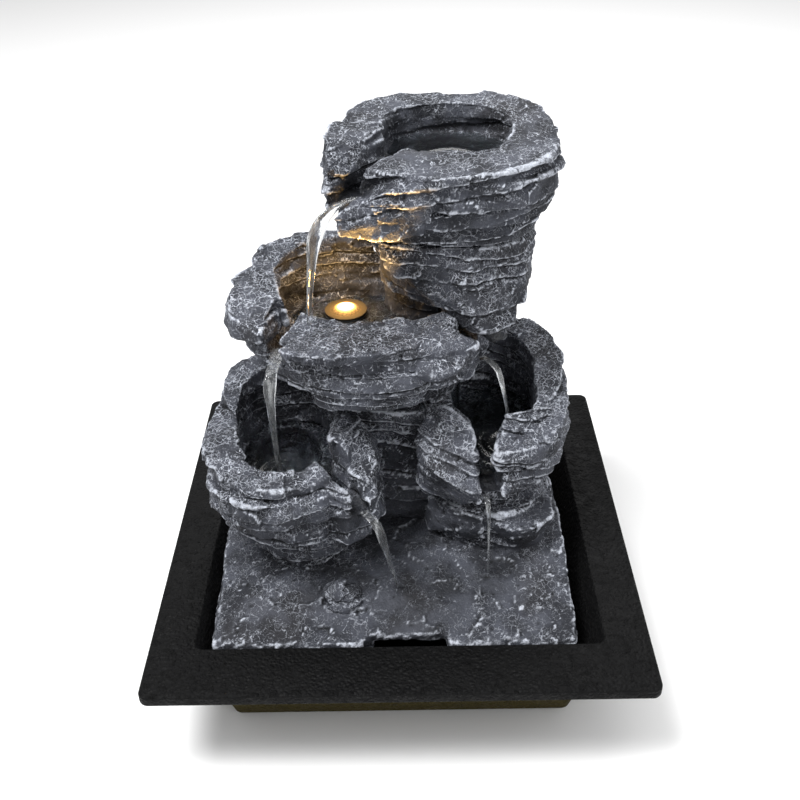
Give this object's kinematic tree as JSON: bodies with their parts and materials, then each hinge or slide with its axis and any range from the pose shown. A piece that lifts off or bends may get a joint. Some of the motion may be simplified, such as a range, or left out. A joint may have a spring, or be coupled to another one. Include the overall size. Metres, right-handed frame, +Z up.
{
  "type": "tabletop water fountain",
  "caption": "Cascading tabletop fountain: a cast slate-look rock tower with bowls at three levels, standing over a small pump in a square wide-rimmed water tray.",
  "frame": {"origin": "middle of the footprint, at the bottom of the foot pads", "axes": "+Z up, +X to the right, +Y to the back, the bowls facing -Y"},
  "size_m": [0.21, 0.21, 0.2366],
  "materials": {
    "tray_black": "fine pebbled matte black",
    "rock": "cast resin, slate grey with pale dry-brushed ridges",
    "soft_rubber": "matte black",
    "clear_vinyl": "clear flexible",
    "lamp_black": "satin black",
    "lamp_lens": "clear moulded lens",
    "lamp_board": "white circuit board",
    "lamp_emitter": "warm white emitter",
    "lead_black": "black sheath",
    "clip_white": "white nylon",
    "pump_black": "moulded black",
    "pump_grey": "moulded dark grey",
    "core_steel": "laminated steel",
    "coil_copper": "enamelled copper winding",
    "sponge": "open cell foam",
    "shutter_red": "moulded red",
    "rotor_white": "moulded white",
    "magnet": "ferrite",
    "shaft_ceramic": "polished ceramic",
    "water": "clear moving water"
  },
  "bodies": {
    "tray": {"tray": "tray_black", "foot_pads": "soft_rubber", "pump_housing": "pump_black", "pump_back_cap": "pump_black", "stator_core": "core_steel", "stator_coil": "coil_copper", "cable_gland": "soft_rubber", "suction_cups": "soft_rubber", "rotor_shaft": "shaft_ceramic", "shaft_bush_rear": "soft_rubber"},
    "rock_tower": {"rock_base": "rock", "rock_column": "rock", "top_bowl": "rock", "middle_bowl": "rock", "left_bowl": "rock", "right_bowl": "rock", "lip_stone": "rock", "pebble": "rock", "riser_hose": "clear_vinyl", "hose_collar": "soft_rubber", "lamp_body": "lamp_black", "lamp_lens": "lamp_lens", "lamp_board": "lamp_board", "lamp_emitter": "lamp_emitter", "lamp_seal": "soft_rubber", "lamp_lead": "lead_black", "lead_connector": "lamp_black", "lead_clip": "clip_white"},
    "pump_front": {"pump_cover": "pump_grey", "inlet_grille": "pump_grey", "filter_sponge": "sponge", "shaft_bush_front": "soft_rubber"},
    "shutter": {"inlet_shutter": "shutter_red"},
    "rotor": {"impeller": "rotor_white", "rotor_magnet": "magnet"}
  },
  "joints": [
    {"name": "rock_lift", "type": "slide", "parent": "tray", "child": "rock_tower", "axis": [0, 0, 1], "range_m": [0, 0.12]},
    {"name": "cover_slide", "type": "slide", "parent": "tray", "child": "pump_front", "axis": [0, -1, 0], "range_m": [0, 0.012]},
    {"name": "shutter_slide", "type": "slide", "parent": "pump_front", "child": "shutter", "axis": [1, 0, 0], "range_m": [0, 0.008]},
    {"name": "impeller_spin", "type": "hinge", "parent": "tray", "child": "rotor", "pos_m": [0.024, 0.014, 0.0235], "axis": [0, 1, 0], "continuous": true}
  ]
}
